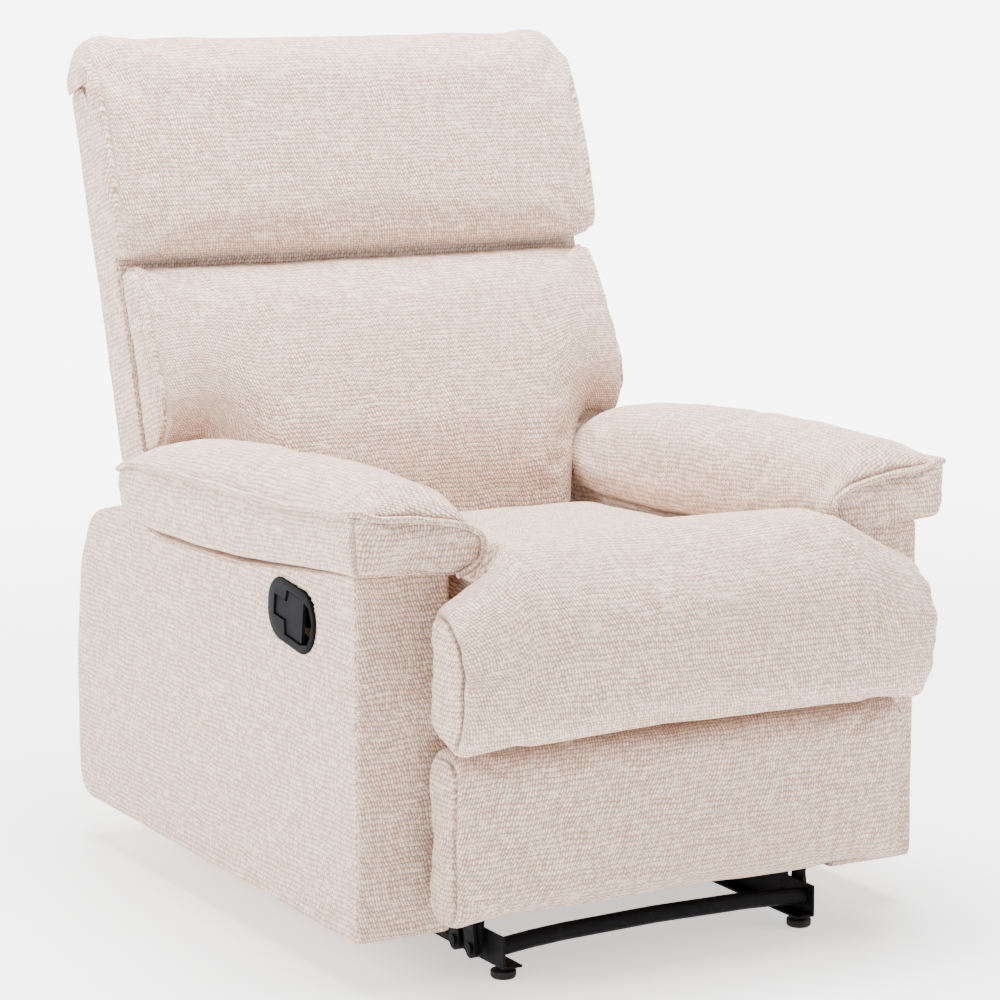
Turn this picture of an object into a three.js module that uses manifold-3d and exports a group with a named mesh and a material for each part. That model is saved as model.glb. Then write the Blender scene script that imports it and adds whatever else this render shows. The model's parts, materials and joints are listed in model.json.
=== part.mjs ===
// Recliner armchair with a push-back backrest and a fold-out footrest on a pair of lazy-tongs linkages.
// Millimetres, +Z up. The sitter faces -Y and the sitter's left is +X. Inside the model y = 0 is the front
// face of the arms; the last line moves the chair so that the origin is under the middle of its footprint.
import * as THREE from "three";
import { mergeVertices } from "three/addons/utils/BufferGeometryUtils.js";
import Module from "manifold-3d";

const wasm = await Module();
wasm.setup();

// ---------------------------------------------------------------- driving dimensions
const CENTRE_Y = 377.7; // from the front face of the arms back to the middle of the footprint
const GAP = 0.3; // between pieces that touch

const ARM_OUTER = 380; // half of the width over the side panels
const ARM_INNER = 260; // half of the space between the arms
const ARM_DEPTH = 798;
const ARM_BOTTOM = 56;
const ARM_WALL = 28; // padded wall round the hollow of an arm

const PAD_INNER = 226; // pillow tops of the arms
const PAD_OUTER = 401;

const SEAT_HALF = 253;
const SEAT_TOP = 455;
const ROLL_HALF = 322; // the rolled front of the seat, which reaches across the arm fronts
const ROLL_FRONT = -125;
const ROLL_BACK = -46;
const ROLL_BOTTOM = 300;
const ROLL_TOP = 500;

const BACK_FOOT = [738, 534]; // a point on the rear face of the back, from which the back is measured
const BACK_LEAN = 17.3; // degrees from upright
const BACK_HALF = 341;
const BACK_RIM = 72; // depth of the side bands of the back

const RAIL_X = 213; // outer face of the floor rails
const RAIL_Y = [-34, 690];
const RAIL_Z = [14, 52];
const STEEL = 3; // thickness of the floor rails
const FOOT_Y = { front: -16, rear: 650 };
const FOOT_X = 203;
const TUBE_RADIUS = 10.5; // of the two cross tubes
const PLATE = [213.5, 217.5]; // side plates of the mechanism
const INNER_LAYER = [219, 223]; // the two layers that the links of the linkage turn in
const OUTER_LAYER = [225, 229];

const LINK = 120; // between the pivots of a short link of the lazy tongs
const LINK_HALF_WIDTH = 12;
const TONGS_ANGLE = 81; // of each link from the axis of the tongs, folded
const TONGS_END = [-3, 148]; // the pivot on the footrest bracket, folded
const PIN_RADIUS = 4;
const HOLE_RADIUS = 4.5;
const SHAFT_RADIUS = 6;

const HINGE = [660, 380]; // pivot of the backrest
const LATCH = [156, 406]; // middle of the release latch on the outer face of the right arm
const LATCH_TILT = -8; // degrees, its front end is the lower one
const CABLE_HOLE = [200, 246]; // (y, z) where the release cable goes through the inner wall of the arm
const CATCH_PIVOT = [154, 196]; // (y, z) of the catch that the cable pulls

const SIDES = { left: 1, right: -1 };

// ---------------------------------------------------------------- materials
const finish = (color, roughness, metalness) => () =>
  new THREE.MeshStandardMaterial({ color, roughness, metalness });
const fabric = finish(0xded2ca, 0.92, 0);
const wood = finish(0xc9a877, 0.7, 0);
const blackSteel = finish(0x1c1c1e, 0.45, 0.7);
const zincSteel = finish(0x9a9a96, 0.4, 0.8);
const springSteel = finish(0x55565a, 0.4, 0.85);
const blackPlastic = finish(0x1b1b1d, 0.4, 0);
const rubber = finish(0x202021, 0.85, 0);

const chair = new THREE.Group();

function add(name, geometry, material, parent = chair) {
  const mesh = new THREE.Mesh(geometry, material());
  mesh.name = name;
  parent.add(mesh);
  return mesh;
}

// ---------------------------------------------------------------- shapes
function shapeOf(points) {
  return new THREE.Shape(points.map(([a, b]) => new THREE.Vector2(a, b)));
}

function roundHole(y, z, radius) {
  return new THREE.Path().absarc(y, z, radius, 0, 2 * Math.PI, true);
}

// Extrudes a side view, drawn in (y, z), across the chair from x0 to x1, with its end edges rounded off.
function across(shape, x0, x1, round = 0, segments = 2, curveSegments = 5) {
  const low = Math.min(x0, x1);
  const high = Math.max(x0, x1);
  const geometry = new THREE.ExtrudeGeometry(shape, {
    depth: high - low - 2 * round,
    bevelEnabled: round > 0,
    bevelThickness: round,
    bevelSize: round,
    bevelOffset: -round,
    bevelSegments: segments,
    curveSegments,
  });
  const swap = new THREE.Matrix4().makeBasis(
    new THREE.Vector3(0, 1, 0),
    new THREE.Vector3(0, 0, 1),
    new THREE.Vector3(1, 0, 0),
  );
  return geometry.applyMatrix4(swap).translate(low + round, 0, 0);
}

function box(x, y, z) {
  const [x0, x1] = [Math.min(...x), Math.max(...x)];
  return new THREE.BoxGeometry(x1 - x0, y[1] - y[0], z[1] - z[0]).translate(
    (x0 + x1) / 2,
    (y[0] + y[1]) / 2,
    (z[0] + z[1]) / 2,
  );
}

function rod(x0, x1, y, z, radius, sides = 12) {
  return new THREE.CylinderGeometry(radius, radius, Math.abs(x1 - x0), sides)
    .rotateZ(Math.PI / 2)
    .translate((x0 + x1) / 2, y, z);
}

function solidOf(geometry) {
  const bare = geometry.index ? geometry.toNonIndexed() : geometry.clone();
  bare.deleteAttribute("normal");
  bare.deleteAttribute("uv");
  const merged = mergeVertices(bare, 1e-4);
  const mesh = new wasm.Mesh({
    numProp: 3,
    vertProperties: new Float32Array(merged.attributes.position.array),
    triVerts: new Uint32Array(merged.index.array),
  });
  return new wasm.Manifold(mesh);
}

function geometryOf(solid) {
  const mesh = solid.getMesh();
  const geometry = new THREE.BufferGeometry();
  geometry.setAttribute("position", new THREE.BufferAttribute(mesh.vertProperties, mesh.numProp));
  geometry.setIndex(new THREE.BufferAttribute(mesh.triVerts, 1));
  geometry.computeVertexNormals();
  return geometry;
}

function join(first, ...others) {
  return geometryOf(others.reduce((sum, next) => sum.add(solidOf(next)), solidOf(first)));
}

function cut(first, ...others) {
  return geometryOf(others.reduce((rest, next) => rest.subtract(solidOf(next)), solidOf(first)));
}

// ---------------------------------------------------------------- floor frame
function floorFrame() {
  const [low, high] = RAIL_Z;
  for (const [side, s] of Object.entries(SIDES)) {
    const flange = box([s * (RAIL_X - 25), s * RAIL_X], RAIL_Y, [low, low + STEEL]);
    const web = box([s * (RAIL_X - STEEL), s * RAIL_X], RAIL_Y, [low, high]);
    add(`base_rail_${side}`, join(flange, web), blackSteel);
    for (const [end, y] of Object.entries(FOOT_Y)) {
      const profile = [[0, 0], [13, 0], [15, 3], [15, 9], [6, 11], [4, 13.7], [0, 13.7]];
      const glide = new THREE.LatheGeometry(shapeOf(profile).getPoints(), 16);
      glide.rotateX(Math.PI / 2).translate(s * FOOT_X, y, 0);
      add(`foot_${end}_${side}`, glide, rubber);
    }
  }
  const reach = RAIL_X - STEEL - GAP;
  const tiltAllowance = 2; // the arched tube meets the rails at a slant
  const arch = new THREE.CatmullRomCurve3(
    [[-1, 36], [-0.7, 41], [0, 44], [0.7, 41], [1, 36]].map(
      ([share, z]) => new THREE.Vector3(share * (reach - tiltAllowance), FOOT_Y.front, z),
    ),
  );
  const ring = new THREE.Shape().absarc(0, 0, TUBE_RADIUS, 0, 2 * Math.PI);
  const bow = { steps: 10, bevelEnabled: false, extrudePath: arch, curveSegments: 6 };
  add("front_cross_tube", new THREE.ExtrudeGeometry(ring, bow), blackSteel);
  add("rear_cross_tube", rod(-reach, reach, 640, 38, TUBE_RADIUS), blackSteel);
}

// ---------------------------------------------------------------- side plates, seat frame and springs
function sidePlates() {
  const front = shapeOf([[54, 330], [50, 220], [50, 132], [60, 122], [88, 112], [92, 24], [140, 24],
    [140, 120], [176, 176], [176, 212], [150, 240], [150, 330]]);
  front.holes.push(roundHole(...tongs.root, SHAFT_RADIUS + 0.6), roundHole(...CATCH_PIVOT, 5));
  const rear = shapeOf([[570, 24], [650, 24], [680, 372], [676, 394], [660, 400], [642, 392],
    [618, 330], [560, 330]]);
  rear.holes.push(roundHole(...HINGE, 6));
  for (const [side, s] of Object.entries(SIDES)) {
    const [x0, x1] = PLATE.map((x) => s * x);
    add(`front_side_plate_${side}`, across(front, x0, x1, 0, 2, 6), blackSteel);
    add(`rear_side_plate_${side}`, across(rear, x0, x1, 0, 2, 6), blackSteel);
  }
}

function seatFrame() {
  const inner = PLATE[1] + 0.7;
  for (const [side, s] of Object.entries(SIDES)) {
    add(`seat_side_rail_${side}`, box([s * inner, s * 252], [-10, 600], [287, 340]), wood);
    add(`arm_bracket_${side}`, box([s * 252.5, s * (ARM_INNER - GAP)], [90, 560], [292, 334]), zincSteel);
  }
  add("seat_front_rail", box([-PLATE[0] + 1, PLATE[0] - 1], [-10, 12], [287, 340]), wood);
  add("seat_rear_rail", box([-PLATE[0] + 1, PLATE[0] - 1], [578, 600], [287, 340]), wood);
}

// A sinuous spring is one flat zigzag wire from the front rail to the rear rail.
function seatSprings() {
  const waves = 8;
  const pointsPerWave = 6;
  const [start, end] = [12 + GAP, 578 - GAP];
  const [swing, halfWire] = [20, 2];
  const count = waves * pointsPerWave;
  const middle = [];
  for (let i = 0; i <= count; i += 1) {
    const along = i / count;
    middle.push([start + (end - start) * along, swing * Math.sin(2 * Math.PI * waves * along)]);
  }
  const edge = (side) => middle.map(([y, x], i) => {
    const [ya, xa] = middle[Math.max(i - 1, 0)];
    const [yb, xb] = middle[Math.min(i + 1, count)];
    const length = Math.hypot(yb - ya, xb - xa);
    const square = i === 0 || i === count;
    const dy = square ? 0 : -(xb - xa) / length;
    const dx = square ? 1 : (yb - ya) / length;
    return [x + side * halfWire * dx, y + side * halfWire * dy];
  });
  const outline = shapeOf([...edge(1), ...edge(-1).reverse()]);
  for (let i = 0; i < 4; i += 1) {
    const wire = new THREE.ExtrudeGeometry(outline, { depth: 3.6, bevelEnabled: false });
    add(`seat_spring_${i + 1}`, wire.translate(-150 + 100 * i, 0, 334), springSteel);
  }
}

// ---------------------------------------------------------------- seat upholstery
function seatUpholstery() {
  const seat = shapeOf([[132, 342], [500, 342], [504, 420], [488, 446], [132, 446]]);
  const seatCrown = shapeOf([[132, 390], [486, 390], [486, 430], [468, SEAT_TOP], [132, 462]]);
  const cushion = join(across(seat, -SEAT_HALF, SEAT_HALF, 14), across(seatCrown, -222, 222, 14));
  add("seat_cushion", cushion, fabric);

  const bullnose = [[-88, ROLL_BOTTOM], [-110, 312], [ROLL_FRONT, 352], [ROLL_FRONT, 430], [-114, 470],
    [-88, 492]];
  const front = shapeOf([[-10.5, ROLL_BOTTOM], ...bullnose, [-60, ROLL_TOP], [-10.5, ROLL_TOP]]);
  const ears = shapeOf([[ROLL_BACK, ROLL_BOTTOM], ...bullnose, [ROLL_BACK, 496]]);
  const crown = shapeOf([[-20, 360], [130, 360], [130, 466], [70, 492], [10, ROLL_TOP], [-20, ROLL_TOP]]);
  const base = box([-SEAT_HALF, SEAT_HALF], [-50, 130], [342, 462]);
  const apron = across(front, -222, 222, 12);
  const roll = join(across(ears, -ROLL_HALF, ROLL_HALF, 16), apron, across(crown, -222, 222, 20), base);
  add("front_roll", cut(roll, box([-260, 260], [-10.5, 140], [280, 342])), fabric);
}

// ---------------------------------------------------------------- arms
function armOutline() {
  const outline = new THREE.Shape();
  outline.moveTo(0, ARM_BOTTOM);
  outline.lineTo(ARM_DEPTH - 40, ARM_BOTTOM);
  outline.quadraticCurveTo(ARM_DEPTH, ARM_BOTTOM, ARM_DEPTH, ARM_BOTTOM + 40);
  outline.bezierCurveTo(ARM_DEPTH, 200, 792, 300, 776, 375);
  outline.bezierCurveTo(766, 425, 735, 442, 642, 463);
  outline.bezierCurveTo(520, 431, 300, 447, 0, 478);
  return outline;
}

function boardOutline(bottom, inset) {
  return [[18 + inset, bottom], [766 - inset, bottom], [766 - inset, 300], [744 - inset, 385 - inset],
    [700, 424 - inset], [620, 436 - inset], [420, 425 - inset], [18 + inset, 452 - inset]];
}

function arms() {
  const hollow = [ARM_INNER + ARM_WALL, ARM_OUTER - ARM_WALL];
  const pad = shapeOf([[-28, 486], [0, 481], [140, 466.5], [300, 454], [430, 449], [560, 452], [624, 470],
    [618, 500], [548, 534], [480, 560], [300, 574], [100, 583], [0, 580], [-30, 545]]);
  for (const [side, s] of Object.entries(SIDES)) {
    const shell = across(armOutline(), s * ARM_INNER, s * ARM_OUTER, 7, 2, 6);
    const tools = [across(shapeOf(boardOutline(40, 0)), s * hollow[0], s * hollow[1])];
    const board = across(shapeOf(boardOutline(ARM_BOTTOM + 2, 0.5)), s * (hollow[0] + GAP), s * 303);
    if (side === "right") {
      tools.push(latchTurn(across(latchOutline(1.2), -ARM_OUTER - 20, -hollow[1] + 2)));
      tools.push(rod(-hollow[0] - 2, -ARM_INNER + 2, ...CABLE_HOLE, 6, 10));
      add("arm_board_right", cut(board, rod(-305, -280, ...CABLE_HOLE, 6, 10)), wood);
    } else {
      add("arm_board_left", board, wood);
    }
    add(`arm_cover_${side}`, cut(shell, ...tools), fabric);
    add(`arm_pad_${side}`, across(pad, s * PAD_INNER, s * PAD_OUTER, 14, 3), fabric);
  }
  add("rear_base_panel", box([-ARM_INNER + GAP, ARM_INNER - GAP], [764, 778], [62, 405]), fabric);
}

// ---------------------------------------------------------------- release latch in the right arm
// Drawn about the latch's own middle, with the first number towards the rear of the chair. The paddle turns
// on an upright pin at its rear end.
function latchOutline(extra) {
  const [half, height, corner] = [62 + extra, 37 + extra, 34 + extra];
  const shape = new THREE.Shape();
  shape.absarc(half - corner - 3, height - corner, corner, 0, Math.PI / 2);
  shape.absarc(corner - half + 3, height - corner, corner, Math.PI / 2, Math.PI);
  shape.absarc(corner - half + 3, corner - height, corner, Math.PI, 1.5 * Math.PI);
  shape.absarc(half - corner - 3, corner - height, corner, 1.5 * Math.PI, 2 * Math.PI);
  return shape;
}

function latchTurn(geometry) {
  return geometry
    .rotateX(THREE.MathUtils.degToRad(-LATCH_TILT))
    .translate(0, ...LATCH);
}

// The paddle's outline: a tab at the rear, on its pin, and a broad blade that the fingers pull.
function paddleOutline(extra) {
  return shapeOf([[40 + extra, -9 - extra], [40 + extra, 12 + extra], [13 + extra, 12 + extra],
    [10 + extra, 25 + extra], [-28, 25 + extra], [-28, -25 - extra], [10 + extra, -25 - extra],
    [13 + extra, -9 - extra]]);
}

function latch() {
  const face = -ARM_OUTER - 3;
  const floor = -ARM_OUTER + 26;
  const bezel = join(
    across(latchOutline(0), face, -ARM_OUTER + 1, 2, 2, 6),
    across(latchOutline(-4), -ARM_OUTER - 1, floor, 0, 2, 6),
  );
  const well = shapeOf([[11.5, -26.5], [-28, -26.5], [-45, -22], [-54, -6], [-54, 6], [-45, 22],
    [-28, 26.5], [11.5, 26.5]]);
  const wellCut = across(well, face - 5, floor - 3);
  const tabCut = across(paddleOutline(1.8), face - 5, face + 12);
  const upright = (radius, length, sides) => {
    const cylinder = new THREE.CylinderGeometry(radius, radius, length, sides);
    return cylinder.rotateX(Math.PI / 2).translate(face + 6.5, 34, 1.5);
  };
  add("latch_cup", latchTurn(cut(bezel, wellCut, tabCut, upright(2.6, 34, 10))), blackPlastic);
  const blade = across(paddleOutline(0), face + 2, face + 6);
  const barrel = upright(4.4, 20, 12);
  add("latch_paddle", latchTurn(cut(join(blade, barrel), upright(2.6, 40, 10))), blackPlastic);
  add("latch_pin", latchTurn(upright(2, 33, 10)), zincSteel);
}

// The cable runs inside the arm from the latch to the catch on the mechanism.
function releaseCable() {
  const [y, z] = CABLE_HOLE;
  const route = [[-353.5, 150, 378], [-338, 151, 375], [-322, 165, 340], [-314, 190, 280],
    [-306, y, z + 3], [-290, y, z], [-250, y, z], [-226, y - 6, z - 12]];
  const path = new THREE.CatmullRomCurve3(route.map(([a, b, c]) => new THREE.Vector3(a, b, c)));
  const section = new THREE.Shape().absarc(0, 0, 2.5, 0, 2 * Math.PI);
  const sweep = { steps: 26, bevelEnabled: false, extrudePath: path, curveSegments: 4 };
  add("release_cable", new THREE.ExtrudeGeometry(section, sweep), blackPlastic);
  const catchShape = shapeOf([[188, 226], [196, 216], [192, 206], [160, 190], [118, 158], [104, 150],
    [98, 158], [108, 166], [112, 182], [148, 206]]);
  const pivot = rod(-PLATE[0] + 2, -INNER_LAYER[1] - 2, ...CATCH_PIVOT, PIN_RADIUS, 10);
  add("release_catch", join(across(catchShape, -INNER_LAYER[0], -INNER_LAYER[1]), pivot), zincSteel);
}

// ---------------------------------------------------------------- footrest linkage
// Two crossing pairs of links on each side. Folded, the axis of the tongs is level and points forward.
const tongs = (() => {
  const angle = THREE.MathUtils.degToRad(TONGS_ANGLE);
  const step = LINK * Math.cos(angle);
  const rise = LINK * Math.sin(angle);
  const [y, z] = TONGS_END;
  return {
    root: [y + 4 * step, z],
    topRear: [y + 3 * step, z + rise],
    bottomRear: [y + 3 * step, z - rise],
    crossing: [y + 2 * step, z],
    topFront: [y + step, z + rise],
    bottomFront: [y + step, z - rise],
    end: [y, z],
  };
})();

// A flat link with round ends, its holes, and pins that stand out of it through the outer layer.
function link(from, to, layer, s, holes, pins) {
  const heading = Math.atan2(to[1] - from[1], to[0] - from[0]);
  const shape = new THREE.Shape();
  shape.absarc(...to, LINK_HALF_WIDTH, heading - Math.PI / 2, heading + Math.PI / 2);
  shape.absarc(...from, LINK_HALF_WIDTH, heading + Math.PI / 2, heading + 1.5 * Math.PI);
  for (const [point, radius] of holes) shape.holes.push(roundHole(...point, radius));
  const bar = across(shape, s * layer[0], s * layer[1], 0, 2, 5);
  const studs = pins.flatMap((point) => [
    rod(s * (layer[1] - 1), s * (OUTER_LAYER[1] + 1), ...point, PIN_RADIUS, 10),
    rod(s * (OUTER_LAYER[1] + 0.5), s * (OUTER_LAYER[1] + 3), ...point, PIN_RADIUS + 3, 10),
  ]);
  return studs.length ? join(bar, ...studs) : bar;
}

function footrestLinkage() {
  const { root, topRear, bottomRear, crossing, topFront, bottomFront, end } = tongs;
  const hole = (point) => [point, HOLE_RADIUS];
  const onShaft = [root, SHAFT_RADIUS + 0.6];
  for (const [side, s] of Object.entries(SIDES)) {
    const inner = (name, from, to, holes, pins) =>
      add(`${name}_${side}`, link(from, to, INNER_LAYER, s, holes, pins), blackSteel);
    const outer = (name, from, to, holes) =>
      add(`${name}_${side}`, link(from, to, OUTER_LAYER, s, holes, []), blackSteel);
    outer("drive_link", root, bottomRear, [onShaft, hole(bottomRear)]);
    inner("lift_link", root, topRear, [onShaft], [topRear]);
    outer("falling_cross_link", topRear, bottomFront, [hole(topRear), hole(crossing), hole(bottomFront)]);
    inner("rising_cross_link", bottomRear, topFront, [], [bottomRear, crossing, topFront]);
    outer("upper_end_link", topFront, end, [hole(topFront), hole(end)]);
    inner("lower_end_link", bottomFront, end, [hole(end)], [bottomFront]);
  }
  add("drive_shaft", rod(-OUTER_LAYER[1] - 3, OUTER_LAYER[1] + 3, ...root, SHAFT_RADIUS, 12), zincSteel);
}

// ---------------------------------------------------------------- footrest panel
function footrest() {
  const [back, front, bottom, top] = [-22, -87, 79, 276];
  const [shoulder, hem] = [28, 18];
  const shape = new THREE.Shape();
  shape.moveTo(back, bottom + hem);
  shape.lineTo(back, top - shoulder);
  shape.quadraticCurveTo(back, top, back - shoulder, top);
  shape.lineTo(front + shoulder, top);
  shape.quadraticCurveTo(front, top, front, top - shoulder);
  shape.lineTo(front, bottom + hem);
  shape.quadraticCurveTo(front, bottom, front + hem, bottom);
  shape.lineTo(back - hem, bottom);
  shape.quadraticCurveTo(back, bottom, back, bottom + hem);
  const recess = box([-286, 286], [back - 19, back + 5], [101, 246]);
  add("footrest_pad", cut(across(shape, -303, 303, 8, 2, 4), recess), fabric);
  add("footrest_board", box([-285, 285], [back - 18.5, back - 0.5], [102, 245]), wood);

  const [y, z] = tongs.end;
  const ear = shapeOf([[y + 11, z - 5], [y + 11, z + 5], [y + 5, z + 12], [back + 0.5, z + 26],
    [back + 0.5, z - 26], [y + 5, z - 12]]);
  for (const [side, s] of Object.entries(SIDES)) {
    const wing = box([s * 185, s * PLATE[1]], [back, back + 3], [z - 40, z + 40]);
    const plate = across(ear, s * PLATE[0], s * PLATE[1]);
    const pin = rod(s * (PLATE[1] - 1), s * (OUTER_LAYER[1] + 1), y, z, PIN_RADIUS, 10);
    const head = rod(s * (OUTER_LAYER[1] + 0.5), s * (OUTER_LAYER[1] + 3), y, z, PIN_RADIUS + 3, 10);
    add(`footrest_bracket_${side}`, join(wing, plate, pin, head), blackSteel);
  }
}

// ---------------------------------------------------------------- backrest
// Built upright in its own frame: y is the depth from the rear face, z the height along the back.
function backrest() {
  const back = new THREE.Group();
  back.position.set(0, ...BACK_FOOT);
  back.rotation.x = -THREE.MathUtils.degToRad(BACK_LEAN);
  chair.add(back);

  const [shellBottom, shellTop, flapBottom] = [-46, 453, -150];
  const rim = shapeOf([[0, shellBottom], [0, shellTop], [-36, shellTop], [-BACK_RIM, shellTop - 70],
    [-BACK_RIM, shellBottom]]);
  const inside = BACK_HALF - 12;
  const tray = box([-inside, inside], [-BACK_RIM - 5, -12], [shellBottom + 12, shellTop - 12]);
  const flap = box([-248, 248], [-8, 0], [flapBottom, shellBottom + 20]);
  const slotX = [INNER_LAYER[0] - 2, INNER_LAYER[1] + 2];
  const slots = Object.values(SIDES).map((s) =>
    box(slotX.map((x) => s * x), [-BACK_RIM - 5, -24], [shellBottom - 5, shellBottom + 20]),
  );
  add("back_cover", join(cut(across(rim, -BACK_HALF, BACK_HALF, 8), tray, ...slots), flap), fabric, back);
  const board = box([2 - inside, inside - 2], [-28, -13], [shellBottom + 13, shellTop - 13]);
  add("back_board", board, wood, back);
  add("back_lower_rail", box([-210, 210], [-28, -8.5], [-100, shellBottom - 1]), wood, back);

  const lumbarSide = shapeOf([[-73, -42], [-124, -42], [-157, 12], [-146, 110], [-106, 201], [-73, 201]]);
  const lumbarTuck = shapeOf([[-73, -196], [-172, -196], [-184, -120], [-184, -40], [-150, 60], [-73, 60]]);
  const lumbar = join(across(lumbarSide, -343, 343, 14), across(lumbarTuck, -220, 220, 14));
  add("lumbar_cushion", lumbar, fabric, back);

  const head = shapeOf([[-73, 205], [-102, 205], [-121, 250], [-121, 410], [-106, 478], [-80, 508],
    [-44, 520], [-16, 510], [-2, 485], [-2, 455.5], [-73, 455.5]]);
  add("headrest_cushion", across(head, -355, 355, 12), fabric, back);

  const hinge = new THREE.Vector3(0, ...HINGE);
  back.updateMatrixWorld();
  back.worldToLocal(hinge);
  const arm = shapeOf([[hinge.y - 18, hinge.z], [hinge.y - 10, hinge.z - 15], [hinge.y + 6, hinge.z - 17],
    [hinge.y + 17, hinge.z - 4], [hinge.y + 14, hinge.z + 12], [-29, -90], [-29, 90], [-62, 90], [-62, -90]]);
  for (const [side, s] of Object.entries(SIDES)) {
    const plate = across(arm, s * INNER_LAYER[0], s * INNER_LAYER[1]);
    const pin = rod(s * (PLATE[0] - 3), s * (INNER_LAYER[0] + 1), hinge.y, hinge.z, 5, 10);
    add(`back_bracket_${side}`, join(plate, pin), blackSteel, back);
  }
}

floorFrame();
sidePlates();
seatFrame();
seatSprings();
seatUpholstery();
arms();
latch();
releaseCable();
footrestLinkage();
footrest();
backrest();
chair.position.y = -CENTRE_Y;

export default chair;
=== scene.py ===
"""Recliner armchair: the look of every piece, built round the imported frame.

Metres, +Z up. The sitter faces -Y and the sitter's left is +X. Each soft piece is a closed skin of rings,
from one end panel to the other, which Blender's cloth then swells between its seams.
"""
import json
import math

import bmesh
import bpy
import numpy as np
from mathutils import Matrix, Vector

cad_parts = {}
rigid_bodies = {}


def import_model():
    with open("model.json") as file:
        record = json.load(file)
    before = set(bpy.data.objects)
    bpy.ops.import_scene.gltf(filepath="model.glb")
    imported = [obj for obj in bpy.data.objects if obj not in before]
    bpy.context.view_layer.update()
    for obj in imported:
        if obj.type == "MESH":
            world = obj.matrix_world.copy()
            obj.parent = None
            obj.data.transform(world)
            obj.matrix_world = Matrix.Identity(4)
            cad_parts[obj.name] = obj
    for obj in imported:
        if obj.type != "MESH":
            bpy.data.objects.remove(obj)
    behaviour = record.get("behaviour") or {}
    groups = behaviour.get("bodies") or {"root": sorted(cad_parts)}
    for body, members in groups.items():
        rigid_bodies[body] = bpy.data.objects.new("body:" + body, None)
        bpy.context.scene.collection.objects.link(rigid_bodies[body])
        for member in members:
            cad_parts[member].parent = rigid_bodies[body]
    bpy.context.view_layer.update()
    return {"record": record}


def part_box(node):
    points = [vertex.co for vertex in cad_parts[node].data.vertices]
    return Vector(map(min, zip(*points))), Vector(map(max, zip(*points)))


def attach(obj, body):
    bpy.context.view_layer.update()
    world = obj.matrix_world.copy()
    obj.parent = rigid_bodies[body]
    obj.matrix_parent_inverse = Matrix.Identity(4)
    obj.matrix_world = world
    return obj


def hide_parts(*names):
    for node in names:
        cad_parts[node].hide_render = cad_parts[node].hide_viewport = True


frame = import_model()

# ---------------------------------------------------------------- sizes
ARM_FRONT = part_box("arm_cover_left")[0].y  # the plane of the arm fronts, from which depths are measured
BACK_FOOT = Vector((0.0, ARM_FRONT + 0.738, 0.534))  # a point on the rear face of the back
BACK_LEAN = math.radians(17.3)
UP_THE_BACK = Vector((0.0, math.sin(BACK_LEAN), math.cos(BACK_LEAN)))
TO_THE_REAR = Vector((0.0, math.cos(BACK_LEAN), -math.sin(BACK_LEAN)))

STEP = 0.008  # between the threads of a skin's grid
WELT_RADIUS = 0.0042
SEAM_HALF_WIDTH = 0.003
MOST_INSET = 0.8  # share of the way to the core that an end panel's rows may step in
CLOTH_FRAMES = 20
CLOTH_PRESSURE = 4.0
SIDES = {"left": 1, "right": -1}

WEFT_PITCH = 0.0062  # height of one row of the weave
WARP_PITCH = 0.0036  # width of one loop in a row


# ---------------------------------------------------------------- placing
def in_side_view(x, a, b):
    """x across the chair, a behind the arm fronts, b above the floor."""
    return np.stack([np.broadcast_to(x, a.shape), ARM_FRONT + a, b], axis=-1)


def on_the_back(x, a, b):
    """x across the chair, a behind the rear face of the back, b up along it."""
    y = BACK_FOOT.y + TO_THE_REAR.y * a + UP_THE_BACK.y * b
    z = BACK_FOOT.z + TO_THE_REAR.z * a + UP_THE_BACK.z * b
    return np.stack([np.broadcast_to(x, a.shape), y, z], axis=-1)


def in_front_view(side):
    """Stations behind the arm fronts, a out from the middle of the chair, b above the floor."""
    def place(y, a, b):
        return np.stack([side * a, ARM_FRONT + np.broadcast_to(y, a.shape), b], axis=-1)
    return place


def smooth(value, low, high):
    """0 below low, 1 above high, and an even S between them."""
    t = np.clip((value - low) / (high - low), 0.0, 1.0)
    return t * t * (3 - 2 * t)


def mixed(first, second, share):
    return [tuple(p + (q - p) * share for p, q in zip(a, b)) for a, b in zip(first, second)]


# ---------------------------------------------------------------- outlines
def corner_arc(before, corner, after, radius):
    """Points of the arc that rounds off one corner, in two halves."""
    corner = np.array(corner)
    to_before, to_after = np.array(before) - corner, np.array(after) - corner
    length_before, length_after = np.linalg.norm(to_before), np.linalg.norm(to_after)
    to_before, to_after = to_before / length_before, to_after / length_after
    half_angle = math.acos(float(np.clip(to_before @ to_after, -0.9999, 0.9999))) / 2
    reach = min(radius / math.tan(half_angle), 0.48 * length_before, 0.48 * length_after)
    start, end = corner + to_before * reach, corner + to_after * reach
    shares = np.linspace(0, 1, 9)[:, None]
    curve = (1 - shares) ** 2 * start + 2 * shares * (1 - shares) * corner + shares ** 2 * end
    return curve[:5], curve[4:]


def outline(corners, counts=None, step=STEP):
    """Points round a closed outline of corners (a, b, radius, in mm), and how many lie on each side."""
    flat = [(a / 1000, b / 1000) for a, b, _ in corners]
    total = len(flat)
    halves = [
        corner_arc(flat[i - 1], flat[i], flat[(i + 1) % total], corners[i][2] / 1000)
        for i in range(total)
    ]
    points, used = [], []
    for i in range(total):
        path = np.concatenate([halves[i][1], halves[(i + 1) % total][0]])
        lengths = np.concatenate([[0], np.cumsum(np.linalg.norm(np.diff(path, axis=0), axis=1))])
        count = counts[i] if counts else max(1, round(lengths[-1] / step))
        marks = np.linspace(0, lengths[-1], count + 1)[:-1]
        points.append(np.stack([np.interp(marks, lengths, path[:, k]) for k in (0, 1)], axis=1))
        used.append(count)
    return np.concatenate(points), used


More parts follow.
